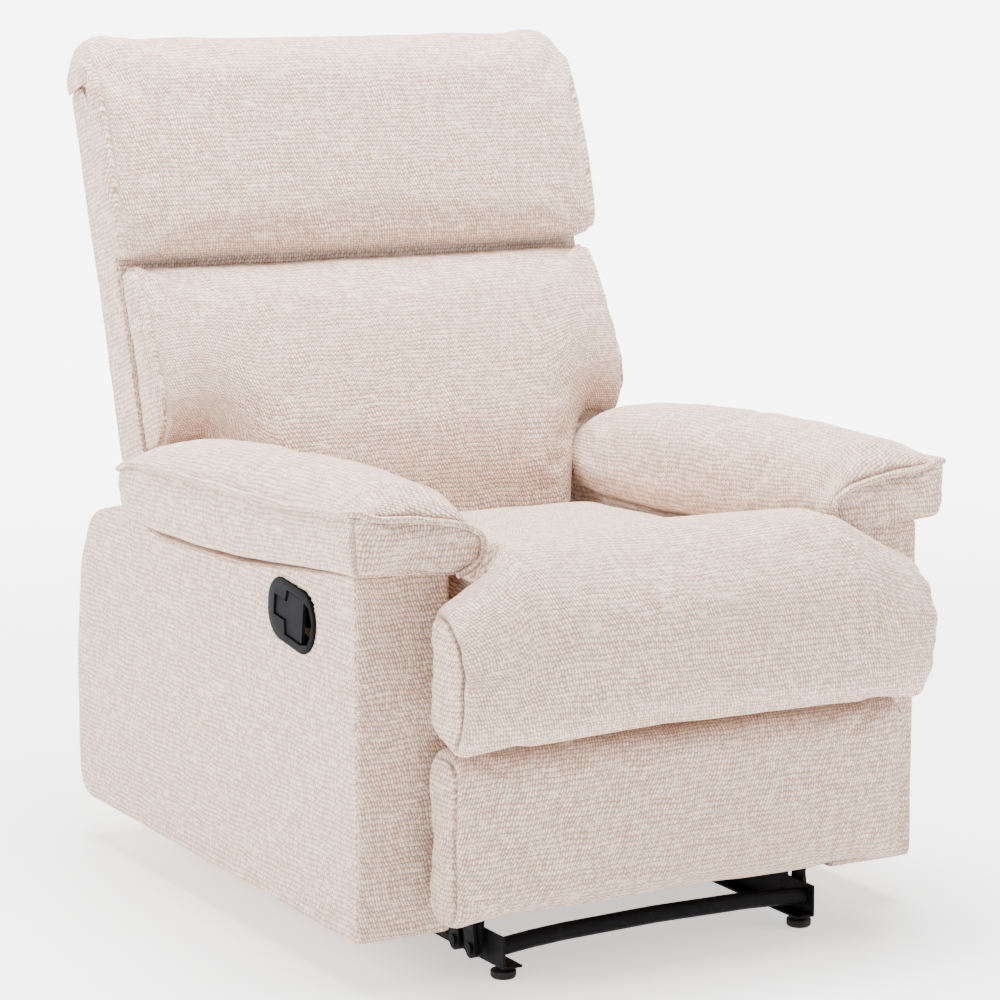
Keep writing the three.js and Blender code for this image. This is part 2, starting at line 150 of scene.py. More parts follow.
# ---------------------------------------------------------------- skins
def stations(low, high, edge, groove, cap_steps, dome, seam_angle=45):
    """Rows from pole to pole: position, inset, share of the full ring, and whether the row is a seam."""
    def end(sign, limit):
        rows = []
        for k in range(cap_steps):
            share = k / cap_steps
            rows.append((limit + sign * dome * (1 - share ** 2), edge, share, False))
        beside = min(math.degrees(SEAM_HALF_WIDTH / edge), 0.3 * seam_angle, 0.3 * (90 - seam_angle))
        for angle in (0, 0.5 * seam_angle, seam_angle - beside, seam_angle, seam_angle + beside,
                      (seam_angle + 90) / 2 + 0.5 * beside, 90):
            turn = math.radians(angle)
            sunk = groove if angle == seam_angle else 0.0
            position = limit - sign * (edge * (1 - math.cos(turn)) + sunk)
            rows.append((position, edge * (1 - math.sin(turn)) + sunk, 1.0, angle == seam_angle))
        return rows
    count = max(2, round((high - low - 2 * edge) / STEP))
    middle = np.linspace(low + edge, high - edge, count + 1)[1:-1]
    between = [(float(p), 0.0, 1.0, False) for p in middle]
    return end(-1, low) + between + end(1, high)[::-1]


def skin(name, place, ring, core, rows):
    """A closed mesh of rings round a core point, with the weave's own coordinates in metres as its UV map."""
    core = np.array(core) / 1000
    count = len(ring(0.0))
    vertices, flat_rings = [], []
    for position, inset, share, _ in rows:
        points = ring(position) - core
        reach = np.linalg.norm(points, axis=1, keepdims=True)
        flat = core + points * (1 - np.minimum(inset / reach, MOST_INSET)) * share
        flat_rings.append(flat)
        vertices.append(place(position, flat[:, 0], flat[:, 1]))
    last = len(rows) - 1
    coordinates = np.concatenate([vertices[0][:1], *vertices[1:-1], vertices[-1][:1]])
    grid = 1 + np.arange(-count, last * count).reshape(last + 1, count)
    grid[0] = 0
    grid[last] = len(coordinates) - 1
    faces, corners = [], []
    seams = [i for i, row in enumerate(rows) if row[3]]
    middle = flat_rings[len(rows) // 2]
    around = np.concatenate([[0], np.cumsum(np.linalg.norm(np.roll(middle, -1, axis=0) - middle, axis=1))])
    travel = np.cumsum([0] + [math.hypot(b[0] - a[0], b[1] - a[1]) for a, b in zip(rows, rows[1:])])
    travel = travel - travel[len(rows) // 2]
    for i in range(last):
        in_cap = i < seams[0] or i >= seams[-1]
        for j in range(count):
            k = (j + 1) % count
            spots = [(i, j, j), (i, k, j + 1), (i + 1, k, j + 1), (i + 1, j, j)]
            if i == 0:
                spots.pop(1)
            if i + 1 == last:
                spots.pop(2)
            faces.append([int(grid[a, b]) for a, b, _ in spots])
            if in_cap:
                corners.extend(tuple(flat_rings[a][b]) for a, b, _ in spots)
            else:
                corners.extend((travel[a], around[c]) for a, _, c in spots)
    mesh = bpy.data.meshes.new(name)
    mesh.from_pydata(coordinates.tolist(), [], faces)
    mesh.uv_layers.new(name="weave").data.foreach_set("uv", np.array(corners, dtype=np.float32).ravel())
    body = bmesh.new()
    body.from_mesh(mesh)
    bmesh.ops.recalc_face_normals(body, faces=body.faces)
    body.to_mesh(mesh)
    body.free()
    mesh.shade_smooth()
    piece = bpy.data.objects.new(name, mesh)
    bpy.context.scene.collection.objects.link(piece)
    return piece, grid, seams


def read_points(mesh):
    points = np.empty(len(mesh.vertices) * 3, dtype=np.float32)
    mesh.vertices.foreach_get("co", points)
    return points.reshape(-1, 3).astype(np.float64)


def write_points(mesh, points):
    mesh.vertices.foreach_set("co", points.astype(np.float32).ravel())
    mesh.update()


def read_normals(mesh):
    normals = np.empty(len(mesh.vertices) * 3, dtype=np.float32)
    mesh.vertex_normals.foreach_get("vector", normals)
    return normals.reshape(-1, 3).astype(np.float64)


# ---------------------------------------------------------------- cloth
def swell(piece, held, pressure, most, slack=0.0):
    """Blows the skin up between its held vertices, and lets no point move further than most."""
    mesh = piece.data
    rest = read_points(mesh)
    group = piece.vertex_groups.new(name="held")
    group.add([int(v) for v in held], 1.0, "REPLACE")
    cloth = piece.modifiers.new("swell", "CLOTH")
    settings = cloth.settings
    settings.quality = 4
    settings.use_pressure = True
    settings.uniform_pressure_force = pressure
    settings.effector_weights.gravity = 0
    settings.vertex_group_mass = "held"
    settings.shrink_min = -slack
    settings.bending_stiffness = 2
    cloth.collision_settings.use_collision = False
    cloth.point_cache.frame_start = 1
    cloth.point_cache.frame_end = CLOTH_FRAMES
    scene = bpy.context.scene
    for number in range(1, CLOTH_FRAMES + 1):
        scene.frame_set(number)
    shaped = piece.evaluated_get(bpy.context.evaluated_depsgraph_get())
    moved = read_points(shaped.data) - rest
    length = np.linalg.norm(moved, axis=1, keepdims=True) + 1e-9
    moved *= most * np.tanh(length / most) / length
    piece.modifiers.remove(cloth)
    piece.vertex_groups.remove(group)
    write_points(mesh, rest + moved)
    scene.frame_set(1)
    print(f"{piece.name}: {len(rest)} vertices, moved up to {float(length.max()) * 1000:.1f} mm")


def even_noise(values, seed):
    """A smooth, repeatable wave between about -1 and 1, whose parts never fall into step."""
    turns = 2 * math.pi * values
    first = 0.5 * np.sin(turns + 1.7 * seed)
    second = 0.3 * np.sin(2.17 * turns + 1.7 * seed + 1)
    return first + second + 0.2 * np.sin(3.71 * turns + 1.7 * seed + 2)


def gather(piece, line, depth, wavelength, reach, seed):
    """Small creases that run out from a seam, the vertices of line, and fade over reach."""
    mesh = piece.data
    points = read_points(mesh)
    normals = read_normals(mesh)
    seam = points[line]
    along = np.concatenate([[0], np.cumsum(np.linalg.norm(np.diff(seam, axis=0), axis=1))])
    distance = np.full(len(points), 1.0)
    place = np.zeros(len(points))
    half = np.ptp(seam, axis=0) / 2 + 3 * reach
    near = np.where((np.abs(points - (seam.min(axis=0) + seam.max(axis=0)) / 2) < half).all(axis=1))[0]
    for block in np.array_split(near, max(1, len(near) // 2000)):
        gaps = np.linalg.norm(points[block, None, :] - seam[None, :, :], axis=2)
        best = gaps.argmin(axis=1)
        distance[block] = gaps[np.arange(len(block)), best]
        place[block] = along[best]
    fade = np.exp(-(distance / reach) ** 2) * smooth(distance, 0.0, 0.4 * reach)
    wave = even_noise(place / wavelength, seed)
    write_points(mesh, points + normals * (depth * fade * wave)[:, None])


def ripple(piece, depth, size, seed):
    """The slow unevenness of fabric over filling."""
    points = read_points(piece.data)
    normals = read_normals(piece.data)
    ways = [(1.0, 0.3, 0.5), (-0.4, 1.0, 0.6), (0.5, -0.7, 1.0)]
    waves = [even_noise(points @ np.array(way) / size, seed + k) for k, way in enumerate(ways)]
    write_points(piece.data, points + normals * (depth * sum(waves) / 3)[:, None])


# ---------------------------------------------------------------- node helpers
class Nodes:
    """Short forms for building one material's node tree."""

    def __init__(self, name):
        self.material = bpy.data.materials.new(name)
        self.material.use_nodes = True
        self.tree = self.material.node_tree
        self.shader = self.tree.nodes["Principled BSDF"]

    def make(self, kind, **settings):
        node = self.tree.nodes.new(kind)
        for key, value in settings.items():
            setattr(node, key, value)
        return node

    def feed(self, socket, value):
        if isinstance(value, bpy.types.NodeSocket):
            self.tree.links.new(value, socket)
        else:
            socket.default_value = value

    def math(self, operation, first, second=0.0, third=0.0):
        node = self.make("ShaderNodeMath", operation=operation)
        for socket, value in zip(node.inputs, (first, second, third)):
            self.feed(socket, value)
        return node.outputs[0]

    def noise(self, vector, scale, detail=2.0, rough=0.5):
        node = self.make("ShaderNodeTexNoise")
        self.feed(node.inputs["Vector"], vector)
        node.inputs["Scale"].default_value = scale
        node.inputs["Detail"].default_value = detail
        node.inputs["Roughness"].default_value = rough
        return node.outputs["Fac"]

    def join(self, x, y, z=0.0):
        node = self.make("ShaderNodeCombineXYZ")
        for socket, value in zip(node.inputs, (x, y, z)):
            self.feed(socket, value)
        return node.outputs[0]

    def ramp(self, value, low, high, at_low=0.0, at_high=1.0):
        node = self.make("ShaderNodeMapRange", interpolation_type="SMOOTHSTEP")
        for socket, number in zip(node.inputs, (value, low, high, at_low, at_high)):
            self.feed(socket, number)
        return node.outputs[0]

    def mix(self, share, first, second):
        node = self.make("ShaderNodeMix", data_type="RGBA")
        self.feed(node.inputs["Factor"], share)
        self.feed(node.inputs["A"], first)
        self.feed(node.inputs["B"], second)
        return node.outputs["Result"]

    def bump(self, height, distance, strength, base=None):
        node = self.make("ShaderNodeBump")
        node.inputs["Distance"].default_value = distance
        node.inputs["Strength"].default_value = strength
        self.feed(node.inputs["Height"], height)
        if base is not None:
            self.feed(node.inputs["Normal"], base)
        return node.outputs[0]


def object_coordinates(nodes):
    return nodes.make("ShaderNodeTexCoord").outputs["Object"]


def linear(red, green, blue):
    """A colour given as the 0 to 255 numbers of a screen."""
    def channel(value):
        share = value / 255
        return share / 12.92 if share <= 0.04045 else ((share + 0.055) / 1.055) ** 2.4
    return (channel(red), channel(green), channel(blue), 1.0)


# ---------------------------------------------------------------- materials
def chenille():
    """Chunky chenille cloth: rows of small round loops, pale slubs, and painted shade in the hollows between
    the loops.
    """
    nodes = Nodes("chenille_fabric")
    place = nodes.make("ShaderNodeUVMap", uv_map="weave").outputs["UV"]
    apart = nodes.make("ShaderNodeSeparateXYZ")
    nodes.feed(apart.inputs[0], place)
    across, up = apart.outputs[0], apart.outputs[1]
    wander = nodes.noise(place, 26, 0)
    sway = nodes.math("MULTIPLY_ADD", wander, 0.010, -0.005)
    lift = nodes.math("MULTIPLY_ADD", wander, 0.007, -0.0035)
    swayed = nodes.math("ADD", across, sway)
    wave = nodes.math("SINE", nodes.math("MULTIPLY", swayed, math.pi / WARP_PITCH))
    level = nodes.math("DIVIDE", nodes.math("ADD", up, lift), WEFT_PITCH)
    row = nodes.math("MULTIPLY_ADD", wave, 0.14, level)
    row_number = nodes.math("FLOOR", row)
    shift = nodes.math("MULTIPLY", nodes.math("MODULO", row_number, 2.0), 0.5)
    lean = nodes.math("MULTIPLY", nodes.math("FRACT", row), 0.45)
    loop = nodes.math("ADD", nodes.math("DIVIDE", swayed, WARP_PITCH), nodes.math("ADD", shift, lean))
    loop_number = nodes.math("FLOOR", loop)
    loop_round = nodes.math("SINE", nodes.math("MULTIPLY", nodes.math("FRACT", loop), math.pi))
    row_round = nodes.math("SINE", nodes.math("MULTIPLY", nodes.math("FRACT", row), math.pi))
    plump = nodes.math("MULTIPLY", nodes.math("POWER", loop_round, 0.6), nodes.math("POWER", row_round, 0.5))
    own = nodes.make("ShaderNodeTexWhiteNoise", noise_dimensions="2D")
    nodes.feed(own.inputs["Vector"], nodes.join(loop_number, row_number))
    slub_place = nodes.join(nodes.math("MULTIPLY", across, 24.0), nodes.math("MULTIPLY", up, 300.0))
    slub = nodes.ramp(nodes.noise(slub_place, 1.0, 1, 0.6), 0.54, 0.72)
    height = nodes.math("MAXIMUM", plump, nodes.math("MULTIPLY", slub, 0.92))
    cloudy = nodes.noise(object_coordinates(nodes), 7.0, 0)
    own_tone = own.outputs["Value"]
    yarn = nodes.mix(nodes.ramp(own_tone, 0.1, 0.9), linear(211, 184, 166), linear(234, 213, 199))
    yarn = nodes.mix(nodes.ramp(cloudy, 0.35, 0.7, 0.0, 0.35), yarn, linear(221, 197, 180))
    # painted shade: the low parts of the weave between the loops get a darker colour for the shade that falls
    # in them; its tone still varies at random from loop to loop
    painted_hollow_shade = nodes.mix(nodes.ramp(own_tone, 0.2, 0.8), linear(154, 120, 100), linear(181, 150, 130))
    colour = nodes.mix(nodes.ramp(height, 0.30, 0.85), painted_hollow_shade, yarn)
    nodes.feed(nodes.shader.inputs["Base Color"], colour)
    nodes.feed(nodes.shader.inputs["Normal"], nodes.bump(height, 0.0013, 0.7))
    nodes.shader.inputs["Roughness"].default_value = 0.93
    nodes.shader.inputs["Specular IOR Level"].default_value = 0.2
    nodes.shader.inputs["Sheen Weight"].default_value = 0.10
    nodes.shader.inputs["Sheen Roughness"].default_value = 0.5
    return nodes.material


def coated_steel():
    """Black powder coat with a fine orange peel and paler rubbed patches."""
    nodes = Nodes("black_powder_coat")
    place = object_coordinates(nodes)
    rubbed = nodes.ramp(nodes.noise(place, 40, 4), 0.58, 0.78)
    colour = nodes.mix(rubbed, (0.006, 0.006, 0.007, 1), (0.016, 0.016, 0.017, 1))
    nodes.feed(nodes.shader.inputs["Base Color"], colour)
    nodes.feed(nodes.shader.inputs["Roughness"], nodes.ramp(nodes.noise(place, 90, 3), 0.3, 0.7, 0.34, 0.5))
    nodes.feed(nodes.shader.inputs["Normal"], nodes.bump(nodes.noise(place, 900, 2), 0.0002, 0.35))
    nodes.shader.inputs["IOR"].default_value = 1.12
    return nodes.material


def plated_steel(name, dark, light):
    """Bare or zinc-plated steel with rolling marks along the part and cloudy plating."""
    nodes = Nodes(name)
    place = object_coordinates(nodes)
    clouds = nodes.noise(place, 55, 4)
    apart = nodes.make("ShaderNodeSeparateXYZ")
    nodes.feed(apart.inputs[0], place)
    brushed = nodes.noise(nodes.join(nodes.math("MULTIPLY", apart.outputs[0], 200.0),
                                     nodes.math("MULTIPLY", apart.outputs[1], 60.0),
                                     nodes.math("MULTIPLY", apart.outputs[2], 900.0)), 1.0, 3)
    nodes.feed(nodes.shader.inputs["Base Color"], nodes.mix(clouds, dark, light))
    nodes.feed(nodes.shader.inputs["Roughness"], nodes.ramp(brushed, 0.3, 0.7, 0.28, 0.46))
    nodes.feed(nodes.shader.inputs["Normal"], nodes.bump(brushed, 0.0001, 0.3))
    nodes.shader.inputs["Metallic"].default_value = 0.95
    return nodes.material


def moulded_plastic():
    """Satin black plastic with a fine spark-eroded grain."""
    nodes = Nodes("satin_black_plastic")
    place = object_coordinates(nodes)
    grain = nodes.noise(place, 1500, 2)
    tone = nodes.noise(place, 60, 2)
    colour = nodes.mix(tone, (0.004, 0.004, 0.005, 1), (0.008, 0.008, 0.009, 1))
    nodes.feed(nodes.shader.inputs["Base Color"], colour)
    nodes.feed(nodes.shader.inputs["Roughness"], nodes.ramp(grain, 0.3, 0.7, 0.42, 0.54))
    nodes.shader.inputs["IOR"].default_value = 1.07
    nodes.feed(nodes.shader.inputs["Normal"], nodes.bump(grain, 0.00015, 0.3))
    return nodes.material


def glide_rubber():
    """Dull black rubber with dusty scuffs."""
    nodes = Nodes("glide_rubber")
    place = object_coordinates(nodes)
    scuffs = nodes.ramp(nodes.noise(place, 120, 4), 0.5, 0.75)
    colour = nodes.mix(scuffs, (0.008, 0.008, 0.008, 1), (0.025, 0.025, 0.024, 1))
    nodes.feed(nodes.shader.inputs["Base Color"], colour)
    nodes.shader.inputs["Specular IOR Level"].default_value = 0.2
    nodes.feed(nodes.shader.inputs["Roughness"], nodes.ramp(scuffs, 0.0, 1.0, 0.62, 0.85))
    nodes.feed(nodes.shader.inputs["Normal"], nodes.bump(nodes.noise(place, 700, 3), 0.0003, 0.4))
    return nodes.material


def plywood():
    """Pale plywood: long grain, a few darker growth bands."""
    nodes = Nodes("plywood")
    apart = nodes.make("ShaderNodeSeparateXYZ")
    nodes.feed(apart.inputs[0], object_coordinates(nodes))
    stretched = nodes.join(nodes.math("MULTIPLY", apart.outputs[0], 9.0),
                           nodes.math("MULTIPLY", apart.outputs[1], 9.0),
                           nodes.math("MULTIPLY", apart.outputs[2], 130.0))
    grain = nodes.noise(stretched, 1.0, 5, 0.65)
    bands = nodes.ramp(grain, 0.45, 0.62)
    colour = nodes.mix(bands, linear(214, 184, 140), linear(178, 140, 96))
    nodes.feed(nodes.shader.inputs["Base Color"], colour)
    nodes.feed(nodes.shader.inputs["Normal"], nodes.bump(grain, 0.0006, 0.4))
    nodes.shader.inputs["Roughness"].default_value = 0.7
    return nodes.material


FABRIC = chenille()
MATERIALS = {
    "upholstery_fabric": FABRIC,
    "frame_wood": plywood(),
    "black_steel": coated_steel(),
    "zinc_steel": plated_steel("zinc_plated_steel", (0.42, 0.42, 0.41, 1), (0.62, 0.62, 0.60, 1)),
    "spring_steel": plated_steel("spring_steel", (0.10, 0.10, 0.11, 1), (0.20, 0.20, 0.21, 1)),
    "latch_plastic": moulded_plastic(),
    "foot_rubber": glide_rubber(),
}


# ---------------------------------------------------------------- finishing a piece
def upholster(piece, body, nodes):
    piece.data.materials.append(FABRIC)
    finer = piece.modifiers.new("finer", "SUBSURF")
    finer.levels = 1
    finer.render_levels = 1
    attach(piece, body)
    if nodes:
        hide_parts(*nodes)
    return piece


def welt(name, path, body, radius=WELT_RADIUS):
    """A fabric-covered cord sewn into a seam, as a tube along the path."""
    path = np.array(path)
    ways = np.gradient(path, axis=0)
    ways /= np.linalg.norm(ways, axis=1, keepdims=True)
    travel = np.concatenate([[0], np.cumsum(np.linalg.norm(np.diff(path, axis=0), axis=1))])
    sides = 10
    normal = np.cross(ways[0], (0.31, 0.17, 0.94))
    rings = []
    for point, way, far in zip(path, ways, travel):
        normal = normal - way * (normal @ way)
        normal /= np.linalg.norm(normal)
        other = np.cross(way, normal)
        thick = radius * (1 + 0.05 * math.sin(far * 190) + 0.03 * math.sin(far * 421))
        turns = np.linspace(0, 2 * math.pi, sides, endpoint=False)
        rings.append(point + thick * (np.cos(turns)[:, None] * normal + np.sin(turns)[:, None] * other))
    total = len(rings)
    faces, corners = [], []
    for i in range(total - 1):
        for j in range(sides):
            k = (j + 1) % sides
            faces.append([i * sides + j, i * sides + k, (i + 1) * sides + k, (i + 1) * sides + j])
            high = (j + 1) * 2 * math.pi * radius / sides
            low = j * 2 * math.pi * radius / sides
            corners += [(travel[i], low), (travel[i], high), (travel[i + 1], high), (travel[i + 1], low)]
    for end, order in ((0, -1), (total - 1, 1)):
        faces.append([end * sides + j for j in range(sides)][::order])
        corners += [(travel[end], 0.0)] * sides
    mesh = bpy.data.meshes.new(name)
    mesh.from_pydata(np.concatenate(rings).tolist(), [], faces)
    mesh.uv_layers.new(name="weave").data.foreach_set("uv", np.array(corners, dtype=np.float32).ravel())
    body_mesh = bmesh.new()
    body_mesh.from_mesh(mesh)
    bmesh.ops.recalc_face_normals(body_mesh, faces=body_mesh.faces)
    body_mesh.to_mesh(mesh)
    body_mesh.free()
    mesh.shade_smooth()
    piece = bpy.data.objects.new(name, mesh)
    bpy.context.scene.collection.objects.link(piece)
    return upholster(piece, body, [])


# ---------------------------------------------------------------- back cushions
def headrest():
    corners = [(-74, 206, 3), (-114, 206, 26), (-117, 330, 200), (-112, 440, 90), (-84, 510, 44),
               (-30, 516, 40), (-4, 484, 22), (-4, 457.5, 3), (-74, 457.5, 3)]
    base, _ = outline(corners)

    def ring(x):
        turn = min(max((abs(x) - 0.308) / 0.046, 0.0), 0.96)
        drop = 0.042 * (1 - math.sqrt(1 - turn ** 2)) * smooth(base[:, 1], 0.36, 0.50)
        pinch = 0.006 * smooth(abs(x), 0.30, 0.355) * smooth(-base[:, 1], -0.27, -0.21)
        return base + np.stack([0 * drop, pinch - drop], axis=1)

    rows = stations(-0.352, 0.352, 0.016, 0.005, 7, 0.003)
    piece, grid, seams = skin("headrest_cushion_cover", on_the_back, ring, (-90, 462), rows)
    hidden = np.where((base[:, 0] > -0.080) & (base[:, 1] < 0.460))[0]
    held = np.concatenate([grid[seams].ravel(), grid[:, hidden].ravel()])
    swell(piece, held, CLOTH_PRESSURE, 0.010, slack=0.006)
    for row, seed in zip(seams, (1, 2)):
        gather(piece, grid[row], 0.0016, 0.035, 0.024, seed)
    ripple(piece, 0.0015, 0.31, 3)
    return upholster(piece, "backrest", ["headrest_cushion"])


def lumbar():
    inner = [(-74, -195, 4), (-166, -195, 14), (-180, -120, 60), (-178, -40, 90), (-156, 60, 140),
             (-134, 140, 90), (-106, 201, 24), (-74, 201, 4)]
    outer = [(-74, -40, 4), (-112, -40, 26), (-144, -8, 34), (-152, 22, 44), (-146, 80, 110),
             (-130, 140, 90), (-104, 201, 24), (-74, 201, 4)]
    _, counts = outline(inner)

    def ring(x):
        share = float(smooth(abs(x), 0.195, 0.285))
        points, _ = outline(mixed(inner, outer, share), counts)
        beside = math.exp(-((abs(x) - 0.236) / 0.020) ** 2)
        dent = 0.006 * beside * smooth(-points[:, 1], -0.060, 0.020) * smooth(-points[:, 0], 0.100, 0.130)
        return points + np.stack([dent, 0 * dent], axis=1)

    rows = stations(-0.338, 0.338, 0.014, 0.005, 6, 0.004)
    piece, grid, seams = skin("lumbar_cushion_cover", on_the_back, ring, (-108, 80), rows)
    points = read_points(piece.data)
    middle = outline(inner, counts)[0]
    hidden = np.where(middle[:, 0] > -0.080)[0]
    low = np.where(points[:, 2] < 0.462)[0]
    held = np.concatenate([grid[seams].ravel(), grid[:, hidden].ravel(), low])
    swell(piece, held, CLOTH_PRESSURE, 0.012, slack=0.008)
    for row, seed in zip(seams, (4, 5)):
        gather(piece, grid[row], 0.0014, 0.040, 0.025, seed)
    ripple(piece, 0.0015, 0.27, 6)
    return upholster(piece, "backrest", ["lumbar_cushion"])


def back_shell():
    corners = [(-71, -45, 4), (0, -45, 5), (0, 452, 9), (-36, 452, 10), (-70, 385, 30)]
    base, _ = outline(corners, step=0.010)
    rows = stations(-0.340, 0.340, 0.006, 0.0012, 5, 0.0)
    piece, grid, seams = skin("back_shell_cover", on_the_back, lambda x: base, (-36, 200), rows)
    for row, seed in zip(seams, (7, 8)):
        gather(piece, grid[row], 0.0008, 0.060, 0.018, seed)
    ripple(piece, 0.0012, 0.23, 9)
    upholster(piece, "backrest", ["back_cover"])
    flap_corners = [(-7.5, -149, 2), (-0.5, -149, 2), (-0.5, -40, 2), (-7.5, -40, 2)]
    flap_base, _ = outline(flap_corners, step=0.006)
    flap, _, _ = skin("back_lower_flap", on_the_back, lambda x: flap_base, (-4, -95),
                      stations(-0.247, 0.247, 0.002, 0.0, 2, 0.0))
    ripple(flap, 0.0015, 0.17, 10)
    upholster(flap, "backrest", [])


# ---------------------------------------------------------------- seat
def seat():
    corners = [(134, 343.5, 4), (501, 343.5, 6), (501, 438, 34), (320, 448, 300), (134, 452, 5)]
    base, _ = outline(corners)

    def ring(x):
        lower = 0.010 * smooth(abs(x), 0.205, 0.235) * smooth(base[:, 1], 0.40, 0.44)
        return base - np.stack([0 * lower, lower], axis=1)

    rows = stations(-0.252, 0.252, 0.010, 0.001, 6, 0.0)
    piece, _, _ = skin("seat_cushion_cover", in_side_view, ring, (320, 392), rows)
    points = read_points(piece.data)
    held = np.where((points[:, 2] < 0.40) | (np.abs(points[:, 0]) > 0.232))[0]
    swell(piece, held, 0.75 * CLOTH_PRESSURE, 0.008, slack=0.004)
    ripple(piece, 0.0018, 0.21, 11)
    return upholster(piece, "base", ["seat_cushion"])


def front_roll():
    inner = [(129, 343.5, 3), (-10, 343.5, 2), (-14, 300, 3), (-78, 292, 12), (-104, 277, 14),
             (-122, 314, 40), (-126, 400, 80), (-114, 458, 50), (-64, 499, 60), (0, 501, 90), (70, 486, 80),
             (129, 460, 4)]
    outer = [(-48, 400, 3), (-48, 350, 2), (-50, 303, 6), (-78, 294, 12), (-104, 280, 14),
             (-124, 316, 40), (-134, 388, 70), (-118, 448, 50), (-84, 486, 30), (-70, 491, 16),
             (-58, 488, 12), (-48, 470, 8)]
    _, counts = outline(inner)

    def ring(x):
        share = float(smooth(abs(x), 0.216, 0.252))
        points, _ = outline(mixed(inner, outer, share), counts)
        limit = 0.520 - 0.062 * smooth(abs(x), 0.208, 0.228) * smooth(points[:, 0], -0.046, -0.030)
        z = np.minimum(points[:, 1], limit)
        drop = 0.046 * smooth(abs(x), 0.215, 0.330) * np.clip((z - 0.37) / 0.12, 0, 1)
        return np.stack([points[:, 0], z - drop], axis=1)

    rows = stations(-0.316, 0.316, 0.014, 0.009, 6, 0.004, seam_angle=24)
    piece, grid, seams = skin("front_roll_cover", in_side_view, ring, (-84, 385), rows)
    points = read_points(piece.data)
    rear = np.where((points[:, 1] > ARM_FRONT - 0.052) & (np.abs(points[:, 0]) > 0.24))[0]
    under = np.where((points[:, 1] > ARM_FRONT - 0.030) & (points[:, 2] < 0.40))[0]
    seat_edge = np.where(points[:, 1] > ARM_FRONT + 0.115)[0]
    held = np.concatenate([grid[seams].ravel(), rear, under, seat_edge])
    swell(piece, held, CLOTH_PRESSURE, 0.010, slack=0.008)
    for row, seed in zip(seams, (12, 13)):
        gather(piece, grid[row], 0.0026, 0.030, 0.026, seed)
    ripple(piece, 0.0020, 0.24, 14)
    return upholster(piece, "base", ["front_roll"])


# ---------------------------------------------------------------- arms
PAD_STATIONS = [  # behind the arm front: bottom, welt, crest and the inner tip's height, in millimetres
    (-30, 480, 551, 538, 485),
    (-14, 479, 549, 556, 485),
    (20, 478, 545, 572, 482),
    (140, 467, 537, 577, 464),
    (260, 456, 533, 576, 452),
    (380, 450, 533, 570, 446),
    (500, 449, 530, 556, 446),
    (580, 452, 524, 544, 452),
    (628, 458, 512, 528, 462),
]


def pad_section(y):
    """The corners of an arm pillow's cross section, out from the middle of the chair and up."""
    table = np.array(PAD_STATIONS)
    bottom, piped, crest, tip = (np.interp(y * 1000, table[:, 0], table[:, k]) for k in (1, 2, 3, 4))
    shoulder = piped + 0.72 * (crest - piped)
    return [(396, bottom, 10), (399, piped, 3), (366, shoulder, 40), (318, crest, 60), (262, crest - 12, 60),
            (231, tip + 26, 24), (236, tip, 18), (268, tip - 14, 12), (330, bottom - 3, 60)]


def proud_of(points, normals, before, seam, after):
    """Where the middle of a cord lies that is sewn in between the two edges of a seam."""
    return (points[before] + points[after]) / 2 + normals[seam] * 1.1 * WELT_RADIUS


def arm_pad(side, s):
    _, counts = outline(pad_section(0.2), step=0.007)

    def ring(y):
        points, _ = outline(pad_section(y), counts)
        slim = 1 - 0.14 * float(smooth(y, 0.56, 0.64))
        pivot = np.array([0.345, 0.490])
        return pivot + (points - pivot) * slim

    rows = stations(-0.030, 0.628, 0.012, 0.006, 6, 0.004)
    piece, grid, seams = skin(f"arm_pad_{side}_cover", in_front_view(s), ring, (320, 512), rows)
    piped = counts[0]
    mesh = piece.data
    points = read_points(mesh)
    sway = 0.0035 * even_noise(points[grid[:, piped], 1] / 0.26, 15 if s > 0 else 21)
    span = slice(seams[0], seams[1] + 1)
    for lane, share in ((piped - 1, 0.6), (piped, 1.0), (piped + 1, 0.6)):
        points[grid[span, lane], 2] += share * sway[span]
    points[grid[span, piped], 0] -= s * 0.005
    write_points(mesh, points)
    lengthwise = grid[span, piped]
    under = np.where(points[:, 2] < 0.484)[0]
    held = np.concatenate([grid[seams].ravel(), lengthwise, under])
    swell(piece, held, CLOTH_PRESSURE, 0.009, slack=0.010)
    gather(piece, lengthwise, 0.0016, 0.045, 0.022, 16 if s > 0 else 26)
    gather(piece, grid[seams[0]], 0.0016, 0.030, 0.018, 17 if s > 0 else 27)
    gather(piece, grid[seams[1]], 0.0020, 0.030, 0.030, 18 if s > 0 else 28)
    ripple(piece, 0.0014, 0.19, 19 if s > 0 else 29)
    points, normals = read_points(mesh), read_normals(mesh)
    upholster(piece, "base", [f"arm_pad_{side}"])

    front = slice(piped, piped + sum(counts[1:7]) + 1)
    along = proud_of(points, normals, grid[span, piped - 1], lengthwise, grid[span, piped + 1])
    rim = seams[0]
    around = proud_of(points, normals, grid[rim - 1, front], grid[rim, front], grid[rim + 1, front])
    path = np.concatenate([along[:0:-1], around])
    for _ in range(4):
        path[1:-1] = (path[:-2] + 2 * path[1:-1] + path[2:]) / 4
    welt(f"arm_pad_{side}_welt", path, "base")


def latch_outline(extra):
    """The cut-out for the latch in the right arm's side, read from its cup."""
    low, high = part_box("latch_cup")
    centre = (low + high) / 2
    half_y, half_z = (high.y - low.y) / 2 + extra, (high.z - low.z) / 2 + extra
    turns = np.linspace(0, 2 * math.pi, 48, endpoint=False)
    power = 0.72
    y = centre.y + half_y * np.sign(np.cos(turns)) * np.abs(np.cos(turns)) ** power
    z = centre.z + half_z * np.sign(np.sin(turns)) * np.abs(np.sin(turns)) ** power
    return y, z


